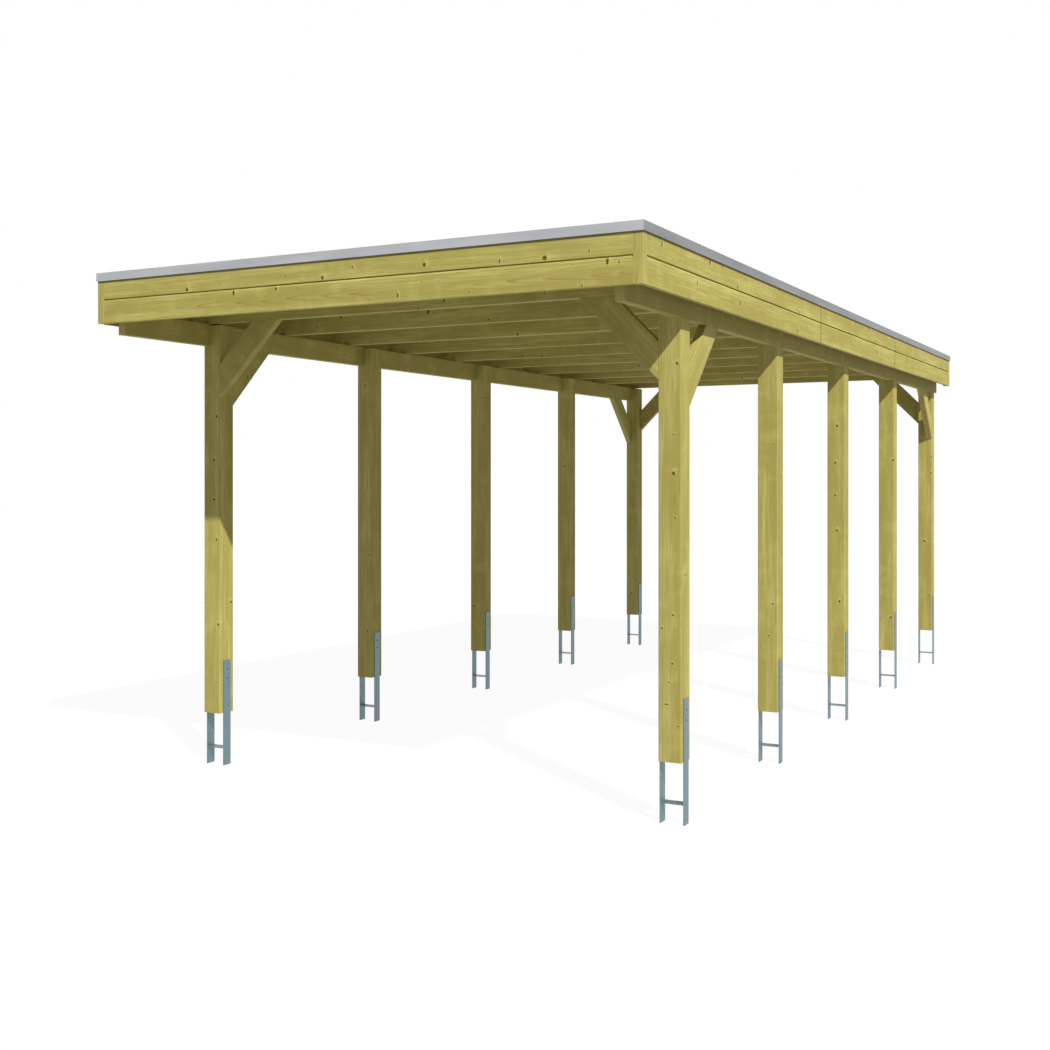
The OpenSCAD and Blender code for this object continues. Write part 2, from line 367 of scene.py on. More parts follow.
def spruce_group():
    """Node group that turns a place in a log into the colour, roughness and relief of its wood."""
    tree = bpy.data.node_groups.new("solid_spruce", "ShaderNodeTree")
    sockets = [("Place", "INPUT", "Vector"), ("Timber", "INPUT", "Float"), ("Depth", "INPUT", "Float"),
               ("Knot", "INPUT", "Vector"), ("Clear", "INPUT", "Float"),
               ("Colour", "OUTPUT", "Color"), ("Roughness", "OUTPUT", "Float"), ("Relief", "OUTPUT", "Float")]
    for name, direction, kind in sockets:
        tree.interface.new_socket(name, in_out=direction, socket_type="NodeSocket" + kind)
    given = tree.nodes.new("NodeGroupInput").outputs

    # Another stretch of log for each timber, with a heart line that wanders a little
    chance = add(tree, "TexWhiteNoise", {"W": given["Timber"]}, noise_dimensions="1D").outputs["Color"]
    log = vector(tree, "MULTIPLY_ADD", chance, (LOG_LENGTH, 0.0, 0.0), given["Place"])
    bend = grain_noise(tree, log, "bend")["Color"]
    wander = vector(tree, "MULTIPLY_ADD", bend, (0, 2 * HEART_WANDER, 2 * HEART_WANDER),
                    (0, -HEART_WANDER, -HEART_WANDER))
    log = vector(tree, "ADD", log, wander)
    radius = vector(tree, "LENGTH", vector(tree, "MULTIPLY", log, (0.0, 1.0, 1.0)))

    # Knots: brown, dark inside where the branch had died, with pale wood in the lee of each
    branch, branch_chance = branch_knot(tree, log, radius)
    branch_away = calc(tree, "MULTIPLY_ADD", given["Clear"], FAR_AWAY, vector(tree, "LENGTH", branch))
    chosen = calc(tree, "LESS_THAN", vector(tree, "LENGTH", given["Knot"]), branch_away)
    way = mix(tree, chosen, branch, given["Knot"], kind="VECTOR")
    wobble = grain_noise(tree, log, "wobble")["Color"]
    way = vector(tree, "MULTIPLY_ADD", vector(tree, "SUBTRACT", wobble, (0.5, 0.5, 0.5)),
                 (KNOT_WOBBLE, KNOT_WOBBLE, 0.0), way)
    away = vector(tree, "LENGTH", way)
    shown = calc(tree, "MAXIMUM", chosen, calc(tree, "SUBTRACT", 1.0, given["Clear"]))
    knot = calc(tree, "MULTIPLY", span(tree, away, *KNOT_EDGE), shown)
    dead = calc(tree, "MAXIMUM", span(tree, branch_chance["Green"], *DEAD_BRANCH), chosen)
    core = calc(tree, "MULTIPLY", span(tree, away, *CORE_EDGE), calc(tree, "MULTIPLY", dead, shown))
    lee_away = vector(tree, "LENGTH", vector(tree, "SUBTRACT", way, LEE_SIDE))
    lee = calc(tree, "MULTIPLY", span(tree, lee_away, *LEE_EDGE), shown)

    # Year rings: pale early wood that darkens to a late line, broad near the heart, pushed aside by knots
    pushed = calc(tree, "MULTIPLY", span(tree, away, *RING_PUSH), shown)
    uneven = grain_noise(tree, log, "uneven")[0]
    tapered = calc(tree, "MULTIPLY_ADD", parts(tree, log)["X"], LOG_TAPER, radius)
    shifted = calc(tree, "MULTIPLY_ADD", uneven, RING_UNEVEN, pushed)
    rings = calc(tree, "MULTIPLY_ADD", tapered, 1 / RING_WIDTH, shifted)
    near_heart = span(tree, radius, *HEART_ZONE)
    power = calc(tree, "MULTIPLY_ADD", near_heart, LATE_SOFTER, LATE_POWER)
    late = calc(tree, "POWER", calc(tree, "FRACT", rings), power)
    patches = span(tree, grain_noise(tree, log, "patches")[0], *RING_PATCHES)
    gained = calc(tree, "MULTIPLY_ADD", near_heart, RING_GAIN, RING_STRENGTH)
    strength = calc(tree, "MULTIPLY", patches, gained)
    drawn = calc(tree, "MULTIPLY", late, calc(tree, "MULTIPLY_ADD", near_heart, HEART_RINGS, strength))

    # Broad drifts of colour along the grain, and over them tans, glazes, late wood and knots
    drifted = calc(tree, "ADD", grain_noise(tree, log, "drifts")[0], given["Depth"])
    tans = parts(tree, grain_noise(tree, log, "tans")["Color"])["Y"]
    patterns = {glaze[0]: grain_noise(tree, log, glaze[0])[0] for glaze in GLAZES}
    colour = mix(tree, span(tree, drifted, *DRIFT_RANGE), SAP_PALE, SAP_DEEP)
    colour = mix(tree, span(tree, tans, *TAN_RANGE), colour, SAP_TAN)
    for name, low, high, share, shade in GLAZES:
        colour = mix(tree, span(tree, patterns[name], low, high, 0.0, share), colour, shade)
    colour = mix(tree, drawn, colour, LATE_ORANGE)
    marks = ((lee, LEE_SHARE, LEE_PALE), (knot, KNOT_SHARE, KNOT_BROWN), (core, CORE_SHARE, BARK_BROWN))
    for mark, share, shade in marks:
        colour = mix(tree, calc(tree, "MULTIPLY", mark, share), colour, shade)

    fibres = patterns["fibres"]
    ridges = calc(tree, "MULTIPLY_ADD", late, LATE_RIDGE, fibres)
    result = tree.nodes.new("NodeGroupOutput")
    tree.links.new(colour, result.inputs["Colour"])
    tree.links.new(span(tree, fibres, *FIBRE_ROUGHNESS), result.inputs["Roughness"])
    tree.links.new(calc(tree, "MULTIPLY_ADD", core, CORE_SINK, ridges), result.inputs["Relief"])
    return tree


spruce = spruce_group()
print("spruce:", len(spruce.nodes), "nodes in the group")

# %% [markdown]
# ## Listed knots
# On the nearest boards and posts the eye knows the knots by their places, so these are listed one by one,
# and each belongs to one face. A colour ramp with hard steps serves as the list: each stretch of the timber
# holds one knot, with its place along the timber, its place across it and half its size both ways in the
# four channels of the step's colour.

# %% Listed knots
MM = 0.001
KNOT_SCALE = 0.02
KNOT_MARGIN = 0.3
KNOT_DEPTH = 0.020
AXES = {"X": 0, "Y": 1, "Z": 2}


def chosen_knots(tree, along_axis, across_axis, face, knots):
    """Way from the nearest chosen knot, in its half sizes, and 1 close to the face that has these knots.

    Each knot is a place along and across, and half its size along and across, in millimetres. The face is
    an axis and a place on it.
    """
    knots = sorted([value * MM for value in knot] for knot in knots)
    start = knots[0][0] - KNOT_MARGIN
    length = knots[-1][0] + KNOT_MARGIN - start
    low = min(knot[1] for knot in knots)
    height = max(knot[1] for knot in knots) - low + KNOT_SCALE
    place = parts(tree, own_place(tree))
    along = calc(tree, "DIVIDE", calc(tree, "SUBTRACT", place[AXES[along_axis]], start), length)
    across = calc(tree, "DIVIDE", calc(tree, "SUBTRACT", place[AXES[across_axis]], low), height)

    ramp = add(tree, "ValToRGB", {"Fac": along})
    ramp.color_ramp.interpolation = "CONSTANT"
    steps = ramp.color_ramp.elements
    steps.remove(steps[1])
    for count, (knot_along, knot_across, half_along, half_across) in enumerate(knots):
        before = knots[count - 1][0] if count else start
        edge = ((knot_along + before) / 2 - start) / length if count else 0.0
        step = steps.new(edge) if count else steps[0]
        step.color = ((knot_along - start) / length, (knot_across - low) / height,
                      half_along / KNOT_SCALE, half_across / KNOT_SCALE)
    kept = add(tree, "SeparateColor", {0: ramp.outputs["Color"]}).outputs
    off_along = calc(tree, "MULTIPLY", calc(tree, "SUBTRACT", along, kept["Red"]), length)
    off_across = calc(tree, "MULTIPLY", calc(tree, "SUBTRACT", across, kept["Green"]), height)
    half_along = calc(tree, "MULTIPLY", kept["Blue"], KNOT_SCALE)
    half_across = calc(tree, "MULTIPLY", ramp.outputs["Alpha"], KNOT_SCALE)
    face_axis, face_place = face
    behind = calc(tree, "ABSOLUTE", calc(tree, "SUBTRACT", place[AXES[face_axis]], face_place))
    near = calc(tree, "LESS_THAN", behind, KNOT_DEPTH)
    hidden = calc(tree, "MULTIPLY", calc(tree, "GREATER_THAN", behind, KNOT_DEPTH), FAR_AWAY)
    way = together(tree, calc(tree, "DIVIDE", off_along, half_along),
                   calc(tree, "DIVIDE", off_across, half_across), hidden)
    return way, near


# %% [markdown]
# ## Which way the grain runs
# The group needs each timber laid along X with its heart on the axis. A Mapping node turns Object
# coordinates that way: posts stand, rafters lie across, braces lean at 45 degrees. Some nodes hold several
# timbers. Where these repeat at a pitch, the place is wrapped into one of them and the count of wraps
# numbers the timber. Where lengths meet end to end, the number goes up by one at each joint.
#
# On top of that come a brown stain beside each joint, a strip of painted shade close under the trim,
# and painted light that makes a sawn end paler.

# %% Which way the grain runs
FAR = 1000.0
WRAP_NUMBERS = (0.0, 1.0, 5.0)
UPRIGHT = 0.99
SPRUCE_SHINE = 0.10
RELIEF_HEIGHT = 0.0006
RELIEF_STRENGTH = 0.5
# Brown of the joint stains, also used for the painted shade under the trim
STAIN_AND_SHADE_BROWN = tone(74, 64, 30)
JOINT_STAIN = 0.007
PAINTED_SHADE_DEPTH = 0.45
PAINTED_SHADE_BLUR = 0.002
LIT_END_SHARE = 0.35


def grain_turn(grain):
    """Rows: along the grain and two directions across it."""
    along = Vector(grain).normalized()
    upright = abs(along.z) > UPRIGHT
    across = Vector((1, 0, 0)) if upright else Vector((0, 0, 1)).cross(along).normalized()
    return Matrix((along, across, along.cross(across)))


def spruce_material(name, grain, heart, number, pitch=None, joints=(), number_attribute=None, knots=None,
                    clear=0.0, depth=0.0, damp_above=None, sawn_before=None):
    """Spruce with its grain along a direction and its heart line through a point.

    A clear timber has no knots but the chosen ones, and a higher depth makes it darker. What lies before
    a place along Y is a sawn end, painted paler as painted light.
    """
    material, tree, output = new_material(name)
    turn = grain_turn(grain)
    own = own_place(tree)
    place = add(tree, "Mapping", {
        "Vector": own,
        "Rotation": turn.to_euler("XYZ"),
        "Location": -(turn @ Vector(heart)),
    }).outputs[0]
    counted = number
    if pitch:
        half = Vector(pitch) / 2
        turns = vector(tree, "FLOOR", vector(tree, "DIVIDE", vector(tree, "ADD", place, half), Vector(pitch)))
        counted = calc(tree, "ADD", vector(tree, "DOT_PRODUCT", turns, WRAP_NUMBERS), number)
        place = vector(tree, "WRAP", place, half, -half)
    stain_and_shade = 0.0
    for joint in joints:
        past = calc(tree, "SUBTRACT", parts(tree, place)["X"], joint)
        counted = calc(tree, "ADD", calc(tree, "GREATER_THAN", past, 0.0), counted)
        close = span(tree, calc(tree, "ABSOLUTE", past), JOINT_STAIN, 0.5 * JOINT_STAIN)
        stain_and_shade = calc(tree, "MAXIMUM", close, stain_and_shade)
    # Painted shade: the wood is darkened in a strip close under the trim, where the trim's shadow falls
    if damp_above:
        height = parts(tree, own)["Z"]
        damp = span(tree, height, damp_above - PAINTED_SHADE_BLUR, damp_above + PAINTED_SHADE_BLUR, 0.0, PAINTED_SHADE_DEPTH)
        stain_and_shade = calc(tree, "MAXIMUM", damp, stain_and_shade)
    if number_attribute:
        counted = add(tree, "Attribute", attribute_name=number_attribute).outputs["Fac"]
    way, clear = chosen_knots(tree, *knots) if knots else (FAR_KNOT, clear)
    given = {"Place": place, "Timber": counted, "Depth": depth, "Knot": way, "Clear": clear}
    wood = add(tree, "Group", given, node_tree=spruce).outputs
    colour = wood["Colour"]
    # Painted light: the sawn end of a beam is made paler, as if more light fell on it
    if sawn_before:
        along = parts(tree, own)["Y"]
        sawn = calc(tree, "MULTIPLY", calc(tree, "LESS_THAN", along, sawn_before), LIT_END_SHARE)
        colour = mix(tree, sawn, colour, LEE_PALE)
    planed = {
        "Base Color": mix(tree, stain_and_shade, colour, STAIN_AND_SHADE_BROWN),
        "Roughness": wood["Roughness"],
        "Specular IOR Level": SPRUCE_SHINE,
    }
    finish_surface(tree, output, planed, wood["Relief"], RELIEF_HEIGHT, RELIEF_STRENGTH)
    return material


def finish_node(name, material):
    """Puts a finish into every material slot of a frame piece."""
    for slot in cad[name].material_slots:
        slot.material = material


def dress_timber(name, grain, heart, number, **wood):
    """Puts spruce with the same name on a frame piece."""
    finish_node(name, spruce_material(name, grain, heart, number, **wood))


def middle(name):
    """Middle of a frame piece."""
    low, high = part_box(name)
    return (low + high) / 2


# %% [markdown]
# ## Posts, beams and braces
# The posts are cut from beside the heart, so their faces show straight stripes along their length. The
# beams and braces are cut closer to it. Each timber has a number of its own, and the three nearest posts of
# each row have the knots that show on them. The beams are clear, and their front ends are painted paler,
# as painted light on the sawn end faces. Each kind of timber has its own depth of colour, as in the
# photograph.

# %% Knots of the nearest posts
# In millimetres: the place up and across a post, and half the size both ways
POST_KNOTS = {
    "post_right_1": [
        (2190, 1440, 8, 6), (1855, 1423, 3, 6), (1670, 1422, 9, 8), (1460, 1430, 3, 6),
        (1000, 1420, 5, 5), (935, 1363, 5, 5), (770, 1416, 5, 5), (680, 1399, 4, 4), (575, 1386, 3, 12),
        (475, 1446, 2, 8)],
    "post_left_1": [
        (2000, -1369, 10, 6), (1750, -1388, 8, 8), (1525, -1388, 6, 9), (1295, -1369, 9, 6),
        (935, -1451, 4, 4), (810, -1356, 8, 7), (480, -1367, 4, 4)],
    "post_right_2": [
        (1845, 1439, 3, 5), (925, 1435, 5, 6), (740, 1410, 5, 5)],
    "post_left_2": [
        (2270, -1402, 9, 6), (1130, -1367, 6, 5), (795, -1388, 3, 4), (615, -1381, 7, 6)],
    "post_right_3": [
        (2000, 1411, 9, 7), (1750, 1398, 7, 9), (1530, 1398, 6, 8), (1470, 1421, 3, 4),
        (1290, 1411, 9, 7), (810, 1427, 9, 7), (475, 1411, 4, 3)],
    "post_left_3": [
        (2270, -1369, 6, 5), (1135, -1352, 5, 4), (650, -1429, 8, 7)],
}
print("posts with chosen knots:", len(POST_KNOTS))

# %% Posts, beams and braces
SIDES = {"left": -1, "right": 1}
ENDS = {"front": -1, "back": 1}
POSTS = 5
UP = (0, 0, 1)
POST_HEART = 0.09
BRACE_HEART = 0.06
HEART_LEAN = 0.3
BEAM_HEART_OUT = 0.035
BEAM_HEART_DROP = 0.045
BEAM_DEPTH = 0.22
BRACE_DEPTH = {"across": 0.14, "along": 0.05}
POST_DEPTH = {"left": 0.0, "right": 0.05}
LIT_END_ROOM = 0.001
draw = random.Random(7)
timbers = 0


def heart_beside(name, distance):
    """Heart line at a distance from the middle of a timber, on a side drawn by chance."""
    turn = draw.uniform(0, 2 * math.pi)
    return middle(name) + distance * Vector((math.cos(turn), math.sin(turn), HEART_LEAN * math.sin(turn)))


for side, sign in SIDES.items():
    for place in range(1, POSTS + 1):
        name = f"post_{side}_{place}"
        timbers += 1
        knots = ("Z", "X", ("Y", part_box(name)[0].y), POST_KNOTS[name]) if name in POST_KNOTS else None
        depth = 0.0 if place == 1 else POST_DEPTH[side]
        heart = heart_beside(name, POST_HEART)
        dress_timber(name, UP, heart, timbers, knots=knots, depth=depth)
    name = f"beam_{side}"
    timbers += 1
    heart = middle(name) + Vector((sign * BEAM_HEART_OUT, 0, -BEAM_HEART_DROP))
    dress_timber(name, (0, 1, 0), heart, timbers, clear=1.0, depth=BEAM_DEPTH,
                 sawn_before=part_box(name)[0].y + LIT_END_ROOM)
    for end, towards in ENDS.items():
        leaning = {"across": (-sign, 0, 1), "along": (0, -towards, 1)}
        for run, grain in leaning.items():
            name = f"brace_{run}_{end}_{side}"
            timbers += 1
            heart = heart_beside(name, BRACE_HEART)
            dress_timber(name, grain, heart, timbers, depth=BRACE_DEPTH[run])
print("posts, beams and braces:", timbers, "timbers")

# %% [markdown]
# ## Rafters
# The rafters are one node. The first lies close behind the front fascia, and the others follow at an even
# pitch from the front posts to the back posts, so one finish that repeats at that pitch serves them all.

# %% Rafters
RAFTER_COUNT = 11
RAFTER_T = 0.045
RAFTER_NUMBER = 40
RAFTER_HEART_BACK = 0.03
RAFTER_HEART_DROP = 0.05

first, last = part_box("rafters")
post_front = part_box("post_left_1")[0].y
rafter_pitch = (last.y - RAFTER_T - post_front) / (RAFTER_COUNT - 2)
rafter_middles = [first.y + RAFTER_T / 2] + [post_front + RAFTER_T / 2 + step * rafter_pitch
                                             for step in range(RAFTER_COUNT - 1)]
rafter_heart = Vector((0, rafter_middles[1] + RAFTER_HEART_BACK, (first.z + last.z) / 2 - RAFTER_HEART_DROP))
dress_timber("rafters", (1, 0, 0), rafter_heart, RAFTER_NUMBER, pitch=(FAR, rafter_pitch, FAR))
print("rafter pitch:", round(rafter_pitch, 4), "m")

# %% [markdown]
# ## Fascia and corner battens
# The lower boards of the front and of the right side have their heart close behind the face, so they show
# long flames. The others are cut farther from it and show stripes. On the sides each course is three
# lengths, and the grain changes at the joints. The knots of the front and of the right side are those that
# show. The battens stand in the four corners, and each takes another stretch of log.

# %% Knots of the fascia
# In millimetres: the place along and up a board, and half the size both ways
FRONT_KNOTS = {
    "fascia_front_upper": [
        (-1165, 2610, 2, 8), (-945, 2607, 9, 10), (-725, 2620, 2, 7), (-315, 2631, 2, 8),
        (-95, 2607, 8, 10), (80, 2645, 5, 5), (480, 2626, 9, 10), (875, 2612, 4, 10),
        (1100, 2609, 11, 11), (1315, 2622, 3, 8)],
    "fascia_front_lower": [
        (-775, 2572, 2, 4), (-640, 2570, 7, 14), (-440, 2540, 3, 5), (-375, 2572, 6, 11),
        (-245, 2570, 2, 7), (180, 2485, 3, 5), (335, 2495, 5, 11), (465, 2550, 3, 4), (720, 2485, 3, 4),
        (1235, 2572, 2, 6), (1281, 2476, 3, 9), (1400, 2572, 7, 15), (1455, 2565, 3, 7)],
}
SIDE_KNOTS = {
    "fascia_right_upper": [
        (-3320, 2664, 7, 14), (-3190, 2615, 4, 5), (-2710, 2672, 8, 14), (-2530, 2676, 7, 10),
        (-2305, 2605, 8, 13), (-1220, 2605, 7, 10), (500, 2675, 12, 14), (695, 2606, 9, 12)],
    "fascia_right_lower": [
        (-2880, 2553, 6, 12), (-2265, 2532, 8, 14), (-1240, 2490, 10, 14), (100, 2556, 8, 8),
        (725, 2539, 12, 16)],
}
print("fascia boards with chosen knots:", len(FRONT_KNOTS) + len(SIDE_KNOTS))

# %% Fascia and corner battens
SEAM_RAFTERS = (4, 7)
BEHIND_FACE = 0.060
HEART_SPREAD = 0.06
PAINTED_SHADE_UNDER_TRIM = 0.011
END_BOARDS = {"fascia_front_lower": 60, "fascia_front_upper": 161, "fascia_back": 62}
SIDE_BOARDS = 60
NUMBERS_A_COURSE = 10
NEAR_HEARTS = {"fascia_front_lower": (0.024, -0.018), "fascia_right_lower": (0.030, -0.01)}
BATTEN_NUMBER = 246
BATTEN_DEPTH = -0.10
BATTEN_HEART_IN = 0.01
BATTEN_HEART_BACK = 0.02

# The painted shade under the trim starts this far below its lower edge
damp_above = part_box("edge_trim_front")[0].z - PAINTED_SHADE_UNDER_TRIM


def board_finish(name, grain, inwards, number, joints=()):
    """Spruce for a fascia board, with its heart behind the face and a strip of painted shade under the trim.
    """
    behind, height = NEAR_HEARTS.get(name, (BEHIND_FACE, draw.uniform(-HEART_SPREAD, HEART_SPREAD)))
    heart = middle(name) + behind * Vector(inwards) + Vector((0, 0, height))
    knots = None
    if name in FRONT_KNOTS:
        knots = ("X", "Z", ("Y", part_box(name)[0].y), FRONT_KNOTS[name])
    if name in SIDE_KNOTS:
        knots = ("Y", "Z", ("X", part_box(name)[1].x), SIDE_KNOTS[name])
    dress_timber(name, grain, heart, number, joints=[joint - heart.y for joint in joints],
                 knots=knots, damp_above=damp_above)


for name, number in END_BOARDS.items():
    board_finish(name, (1, 0, 0), (0, -1 if name == "fascia_back" else 1, 0), number)

seams = [rafter_middles[rafter] for rafter in SEAM_RAFTERS]
for side, sign in SIDES.items():
    for course in ("lower", "upper"):
        name = f"fascia_{side}_{course}"
        timbers += NUMBERS_A_COURSE
        board_finish(name, (0, 1, 0), (-sign, 0, 0), SIDE_BOARDS + timbers, joints=seams)

low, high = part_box("corner_battens")
batten_w = high.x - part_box("fascia_front_lower")[1].x
batten_heart = Vector((high.x - batten_w / 2 - BATTEN_HEART_IN, high.y - batten_w / 2 + BATTEN_HEART_BACK, 0))
batten_pitch = (FAR, high.x - low.x - batten_w, high.y - low.y - batten_w)
dress_timber("corner_battens", UP, batten_heart, BATTEN_NUMBER, pitch=batten_pitch, clear=1.0,
             depth=BATTEN_DEPTH, damp_above=damp_above)
print("fascia: side joints at", [round(seam, 3) for seam in seams])

# %% [markdown]
# ## Aluminium edge trim
# The trim is a drawn profile in mill finish. Drawing leaves fine lines along its length, which blur
# reflections more across than along. Fine noise, stretched along the length, sets roughness and a slight
# bump, and a slow cloud of tone keeps it from looking like plastic. The short lengths at front and back
# are painted lighter than the long ones on the sides, as a painted reflection.

# %% Aluminium edge trim
MILL_PAINTED_BRIGHT = (tone(184, 186, 188), tone(173, 175, 177))
MILL_PAINTED_DARK = (tone(152, 152, 153), tone(140, 140, 141))
MILL_CLOUDS = (2.0, 2.0, 9.0)
MILL_SHINE = (0.3, 0.7, 0.42, 0.55)
LINES_ACROSS = (3.0, 900.0, 900.0)
LINES_ALONG = (900.0, 3.0, 900.0)


def drawn_aluminium(name, lines, tones):
    """Mill finish with drawing lines; the lines are noise patches per metre along each axis."""
    material, tree, output = new_material(name)
    place = own_place(tree)
    streaks = noise(tree, place, lines).outputs[0]
    clouds = noise(tree, place, MILL_CLOUDS).outputs[0]
    metal = {
        "Base Color": mix(tree, span(tree, clouds, 0.35, 0.70), *tones),
        "Metallic": 1.0,
        "Roughness": span(tree, streaks, *MILL_SHINE),
    }
    finish_surface(tree, output, metal, streaks, height=0.0001, strength=0.3)
    return material


# Painted reflection: the front and back lengths are painted lighter, and the side lengths darker
trim_across = drawn_aluminium("trim_lines_across", LINES_ACROSS, MILL_PAINTED_BRIGHT)
trim_along = drawn_aluminium("trim_lines_along", LINES_ALONG, MILL_PAINTED_DARK)
for place in ENDS:
    finish_node(f"edge_trim_{place}", trim_across)
for place in SIDES:
    finish_node(f"edge_trim_{place}", trim_along)
print("edge trim: lines along each length")

# %% [markdown]
# ## Galvanised steel
# Hot-dip zinc cools in crystals, which show as spangles of slightly different grey and gloss. Cells of a
# Voronoi texture are flat patches with hard borders, which is what spangles are, and a cloud over them
# gives the cool, uneven bloom of the zinc. On these anchors the zinc is fine and dull, so both stay faint.

# %% Galvanised steel
ZINC_PALE = tone(123, 147, 153)
ZINC_DEEP = tone(115, 138, 144)
ZINC_BLOOM = tone(120, 143, 148)
SPANGLES_PER_METRE = 90.0
BLOOM_PATCHES = (14.0, 14.0, 5.0)
BLOOM_RANGE = (0.35, 0.75, 0.0, 0.8)
ZINC_SHINE = (0.0, 1.0, 0.42, 0.50)


def galvanised(name):
    """Zinc with faint spangles."""
    material, tree, output = new_material(name)
    place = own_place(tree)
    spangles = add(tree, "TexVoronoi", {"Vector": place, "Scale": SPANGLES_PER_METRE})
    shade = add(tree, "SeparateColor", {0: spangles.outputs["Color"]}).outputs
    bloom = noise(tree, place, BLOOM_PATCHES, detail=3.0).outputs[0]
    colour = mix(tree, shade["Red"], ZINC_PALE, ZINC_DEEP)
    metal = {
        "Base Color": mix(tree, span(tree, bloom, *BLOOM_RANGE), colour, ZINC_BLOOM),
        "Metallic": 0.80,
        "Roughness": span(tree, shade["Green"], *ZINC_SHINE),
    }
    finish_surface(tree, output, metal, bloom, height=0.0004, strength=0.3)
    return material


zinc = galvanised("galvanised_zinc")
for side in SIDES:
    for place in range(1, POSTS + 1):
        finish_node(f"anchor_{side}_{place}", zinc)
print("anchors:", len(SIDES) * POSTS, "in galvanised steel")

# %% [markdown]
# ## Helpers for modelling
# New pieces are modelled in edit mode. Each operator acts on what is selected, so one helper makes a piece
# the only selected object, and another selects the edges or faces of a mesh by their middle and direction.

# %% Helpers for modelling
# A direction lies along an axis above the first of these shares, and across it below the second
ALONG = 0.9
ACROSS = 0.1
# What is this close to an edge, or to a level, counts as on it
AT_EDGE = 0.001
AT_LEVEL = 1e-5


def only(piece):
    """Makes one piece the only selected and the active one."""
    bpy.ops.object.select_all(action="DESELECT")
    piece.select_set(True)
    bpy.context.view_layer.objects.active = piece


def pick(piece, kind, test):
    """In edit mode, selects the edges or faces whose middle, and direction or normal, pass a test."""
    bpy.ops.mesh.select_mode(type=kind)
    bpy.ops.mesh.select_all(action="DESELECT")
    shape = bmesh.from_edit_mesh(piece.data)
    for face in shape.faces if kind == "FACE" else ():
        if test(face.calc_center_median(), face.normal):
            face.select_set(True)
    for edge in shape.edges if kind == "EDGE" else ():
        start, end = (corner.co for corner in edge.verts)
        if test((start + end) / 2, (end - start).normalized()):
            edge.select_set(True)
    shape.select_flush_mode()
    bmesh.update_edit_mesh(piece.data)


def extrude(distance):
    """Extrudes what is selected."""
    bpy.ops.mesh.extrude_region_move(TRANSFORM_OT_translate={"value": distance})


def cut(point, normal, remove=False):
    """Cuts the whole mesh along a plane; what lies beyond it may be removed."""
    bpy.ops.mesh.select_all(action="SELECT")
    bpy.ops.mesh.bisect(plane_co=point, plane_no=normal, clear_outer=remove, use_fill=remove)


def copy_of(piece, place, scale=(1, 1, 1)):
    """A copy of a piece with a mesh of its own, set down at a place."""
    copy = piece.copy()
    copy.data = piece.data.copy()
    bpy.context.collection.objects.link(copy)
    copy.location = place
    copy.scale = scale
    return copy


def settle():
    """Moves the place, turn and scale of what is selected into its mesh."""
    bpy.ops.object.transform_apply(location=True, rotation=True, scale=True)


def editing(on):
    """Enters edit mode, or leaves it."""
    bpy.ops.object.mode_set(mode="EDIT" if on else "OBJECT")


def join(pieces, name):
    """Joins pieces into one, with its place in its mesh."""
    bpy.ops.object.select_all(action="DESELECT")
    for piece in pieces:
        piece.select_set(True)
    bpy.context.view_layer.objects.active = pieces[0]
    bpy.ops.object.join()
    joined = bpy.context.object
    settle()
    joined.name = name
    joined.data.name = name
    return joined


def fit(piece, material, slot, *nodes):
    """Gives a finished piece its material and its body, and hides the frame nodes that it stands for. The
    slot is not used.
    """
    piece.data.materials.clear()
    piece.data.materials.append(material)
    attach(piece, "root")
    if nodes:
        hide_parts(*nodes)
    print(piece.name + ":", len(piece.data.polygons), "faces")


# %% [markdown]
# ## Roof boards
# The roof is closed with tongued boards along the carport, nailed across the rafters, in lengths that meet
# over a rafter. From below each joint shows as a fine V. A flat slab with painted lines would look dead at
# a low angle, so one board is modelled with its tongue, groove and bevelled edges, and copied for each
# length. A number on the faces of each copy lets the spruce choose another stretch of log.

# %% One roof board
BOARD_COURSES = 26
BOARD_GAP = 0.0008
BOARD_V = 0.003
TONGUE = 0.005
TONGUE_PLAY = 0.0006

deck_low, deck_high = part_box("roof_boarding")
deck_t = deck_high.z - deck_low.z
tongue_half = deck_t / 6
cover = (deck_high.x - deck_low.x) / BOARD_COURSES

bpy.ops.object.select_all(action="DESELECT")
bpy.ops.mesh.primitive_cube_add(size=1, scale=(cover - BOARD_GAP, 1, deck_t))
roof_board = bpy.context.object
roof_board.name = "roof_board"
settle()
editing(True)
pick(roof_board, "EDGE", lambda place, along: abs(along.y) > ALONG and place.z < 0)
bpy.ops.mesh.bevel(offset=BOARD_V, segments=1)
for height in (-tongue_half, tongue_half):
    cut((0, 0, height), (0, 0, 1))
pick(roof_board, "FACE", lambda place, normal: normal.x > ALONG and abs(place.z) < tongue_half)
extrude((TONGUE, 0, 0))
pick(roof_board, "FACE", lambda place, normal: normal.x < -ALONG and abs(place.z) < tongue_half)
extrude((TONGUE + TONGUE_PLAY, 0, 0))
editing(False)
print("roof board:", round(cover, 4), "m cover,", len(roof_board.data.polygons), "faces")

# %% [markdown]
# ## Laying the roof boards
# The boards are laid course by course. Neighbouring courses meet over different rafters, as carpenters do
# it, so that no line of joints crosses the whole roof. The outermost boards are notched round the corner
# battens with a boolean cut, and the tongue that would stick out of the last course is cut off.

# %% Lay the roof boards
MEETING_RAFTERS = ((4, 8), (6,), (3, 7), (5, 9))
NOTCH_ROOM = 0.001
ROOF_NUMBERS = 300
ROOF_DEPTH = -0.10
ROOF_HEART_RIGHT = 0.02
ROOF_HEART_DROP = 0.045

